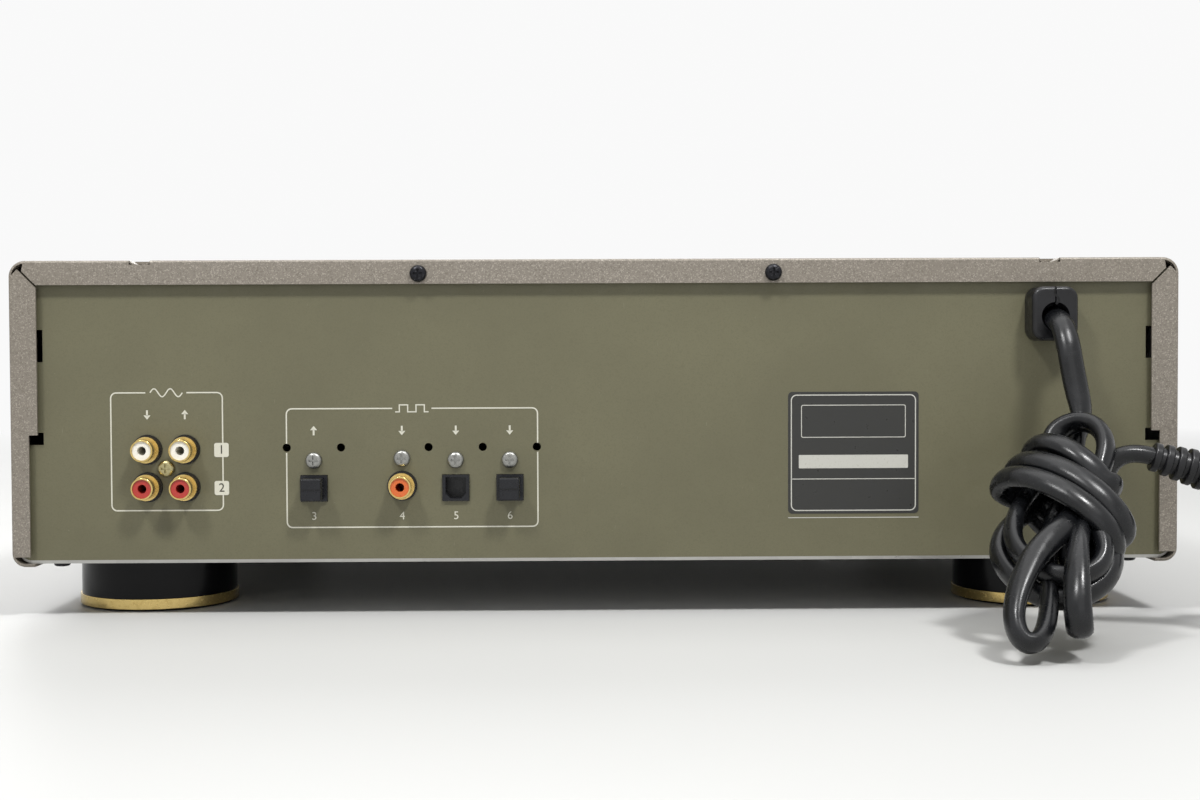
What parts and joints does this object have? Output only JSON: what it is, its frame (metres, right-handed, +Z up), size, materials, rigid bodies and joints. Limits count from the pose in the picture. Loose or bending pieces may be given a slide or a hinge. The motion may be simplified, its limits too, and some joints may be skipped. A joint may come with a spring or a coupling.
{
  "type": "minidisc deck",
  "caption": "Full-width disc recorder in a folded steel case on round feet, with a flap-covered disc slot, front controls, rear sockets and a tied mains cord.",
  "frame": {"origin": "middle of the footprint without the cord, on the surface that the feet stand on", "axes": "+X right seen from the front, -Y towards the front, +Y towards the sockets, +Z up"},
  "size_m": [0.5003, 0.4254, 0.133],
  "materials": {
    "cover_paint": "fine speckled metallic paint",
    "panel_paint": "satin paint",
    "front_metal": "fine brushed and anodised",
    "bare_steel": "plated sheet",
    "bright_steel": "polished",
    "core_steel": "varnished laminations",
    "cast_metal": "die cast",
    "black_screw": "black zinc",
    "bright_screw": "passivated zinc",
    "gold": "gold plated",
    "black_plastic": "moulded",
    "gloss_black": "polished",
    "jack_core": "coloured by row: white, red and orange",
    "smoked_plastic": "smoked",
    "tube_glass": "clear",
    "board": "resin board",
    "pad_rubber": "felt-faced pad",
    "black_rubber": "moulded",
    "cord_jacket": "satin"
  },
  "bodies": {
    "case": {"top_cover": "cover_paint", "bottom_chassis": "bare_steel", "rear_panel": "panel_paint", "front_panel": "front_metal", "front_frame": "black_plastic", "display_window": "smoked_plastic", "display_tube": "tube_glass", "slot_bezel": "gloss_black", "headphone_jack": "black_plastic", "front_board": "board", "tact_switches": "black_plastic", "rotary_controls": "bare_steel", "cover_screws": "black_screw", "chassis_screws": "black_screw", "terminal_screws": "bright_screw", "rca_block": "black_plastic", "coaxial_housing": "black_plastic", "jack_shells": "gold", "jack_insulators": "jack_core", "optical_sockets": "black_plastic", "feet": "gloss_black", "foot_rings": "gold", "foot_pads": "pad_rubber", "mech_frame": "bare_steel", "guide_rods": "bright_steel", "sled_motor": "bare_steel", "spindle_motor": "bare_steel", "loading_motor": "bare_steel", "main_board": "board", "board_parts": "black_plastic", "power_transformer": "core_steel", "cord_bushing": "black_rubber", "cord_lead": "cord_jacket", "cord_hank": "cord_jacket", "cord_tail": "cord_jacket", "plug_body": "black_rubber", "plug_blades": "bright_steel"},
    "slot_door": {"slot_door": "gloss_black"},
    "power_button": {"power_button": "front_metal"},
    "play_button": {"play_button": "front_metal"},
    "pause_button": {"pause_button": "front_metal"},
    "stop_button": {"stop_button": "front_metal"},
    "record_button": {"record_button": "front_metal"},
    "eject_button": {"eject_button": "front_metal"},
    "function_button_1": {"function_button_1": "front_metal"},
    "function_button_2": {"function_button_2": "front_metal"},
    "function_button_3": {"function_button_3": "front_metal"},
    "function_button_4": {"function_button_4": "front_metal"},
    "function_button_5": {"function_button_5": "front_metal"},
    "record_level_knob": {"record_level_knob": "front_metal"},
    "track_knob": {"track_knob": "front_metal"},
    "phones_level_knob": {"phones_level_knob": "front_metal"},
    "timer_slider": {"timer_slider": "black_plastic"},
    "dust_cap_out": {"dust_cap_out": "black_plastic"},
    "dust_cap_in": {"dust_cap_in": "black_plastic"},
    "disc_holder": {"disc_holder": "bare_steel"},
    "turntable": {"turntable": "black_plastic"},
    "optical_pickup": {"optical_pickup": "cast_metal"},
    "lead_screw": {"lead_screw": "bright_steel"},
    "head_arm": {"head_arm": "bright_steel"}
  },
  "joints": [
    {"name": "door_hinge", "type": "hinge", "parent": "case", "child": "slot_door", "pos_m": [0, -0.14395, 0.11125], "axis": [1, 0, 0], "range_deg": [0, 80], "stiffness_Nm_per_rad": 0.002},
    {"name": "power_push", "type": "slide", "parent": "case", "child": "power_button", "axis": [0, 1, 0], "range_m": [0, 0.003], "stiffness_N_per_m": 120},
    {"name": "play_push", "type": "slide", "parent": "case", "child": "play_button", "axis": [0, 1, 0], "range_m": [0, 0.0008], "stiffness_N_per_m": 120},
    {"name": "pause_push", "type": "slide", "parent": "case", "child": "pause_button", "axis": [0, 1, 0], "range_m": [0, 0.0008], "stiffness_N_per_m": 120},
    {"name": "stop_push", "type": "slide", "parent": "case", "child": "stop_button", "axis": [0, 1, 0], "range_m": [0, 0.0008], "stiffness_N_per_m": 120},
    {"name": "record_push", "type": "slide", "parent": "case", "child": "record_button", "axis": [0, 1, 0], "range_m": [0, 0.0008], "stiffness_N_per_m": 120},
    {"name": "eject_push", "type": "slide", "parent": "case", "child": "eject_button", "axis": [0, 1, 0], "range_m": [0, 0.0008], "stiffness_N_per_m": 120},
    {"name": "function_push_1", "type": "slide", "parent": "case", "child": "function_button_1", "axis": [0, 1, 0], "range_m": [0, 0.0008], "stiffness_N_per_m": 120},
    {"name": "function_push_2", "type": "slide", "parent": "case", "child": "function_button_2", "axis": [0, 1, 0], "range_m": [0, 0.0008], "stiffness_N_per_m": 120},
    {"name": "function_push_3", "type": "slide", "parent": "case", "child": "function_button_3", "axis": [0, 1, 0], "range_m": [0, 0.0008], "stiffness_N_per_m": 120},
    {"name": "function_push_4", "type": "slide", "parent": "case", "child": "function_button_4", "axis": [0, 1, 0], "range_m": [0, 0.0008], "stiffness_N_per_m": 120},
    {"name": "function_push_5", "type": "slide", "parent": "case", "child": "function_button_5", "axis": [0, 1, 0], "range_m": [0, 0.0008], "stiffness_N_per_m": 120},
    {"name": "record_level_turn", "type": "hinge", "parent": "case", "child": "record_level_knob", "pos_m": [0.181, -0.142, 0.0625], "axis": [0, 1, 0], "range_deg": [-150, 150]},
    {"name": "track_turn", "type": "hinge", "parent": "case", "child": "track_knob", "pos_m": [0.124, -0.142, 0.0625], "axis": [0, 1, 0], "continuous": true},
    {"name": "phones_level_turn", "type": "hinge", "parent": "case", "child": "phones_level_knob", "pos_m": [-0.118, -0.142, 0.0425], "axis": [0, 1, 0], "range_deg": [-150, 150]},
    {"name": "timer_slide", "type": "slide", "parent": "case", "child": "timer_slider", "axis": [1, 0, 0], "range_m": [-0.004, 0.004]},
    {"name": "dust_cap_out_pull", "type": "slide", "parent": "case", "child": "dust_cap_out", "axis": [0, 1, 0], "range_m": [0, 0.016]},
    {"name": "dust_cap_in_pull", "type": "slide", "parent": "case", "child": "dust_cap_in", "axis": [0, 1, 0], "range_m": [0, 0.016]},
    {"name": "holder_lower", "type": "slide", "parent": "case", "child": "disc_holder", "axis": [0, 0, -1], "range_m": [0, 0.005]},
    {"name": "turntable_spin", "type": "hinge", "parent": "case", "child": "turntable", "pos_m": [0, -0.0838, 0.0985], "axis": [0, 0, 1], "continuous": true},
    {"name": "pickup_travel", "type": "slide", "parent": "case", "child": "optical_pickup", "axis": [1, 0, 0], "range_m": [0, 0.016]},
    {"name": "lead_screw_turn", "type": "hinge", "parent": "case", "child": "lead_screw", "pos_m": [0.02, -0.1018, 0.0925], "axis": [1, 0, 0], "range_deg": [0, 1925]},
    {"name": "head_arm_lower", "type": "hinge", "parent": "optical_pickup", "child": "head_arm", "pos_m": [0.0145, -0.0433, 0.113], "axis": [1, 0, 0], "range_deg": [0, 4], "stiffness_Nm_per_rad": 0.01}
  ],
  "couplings": [
    {"joint": "lead_screw_turn", "follows": "pickup_travel", "rad_per_m": 2094.4}
  ]
}
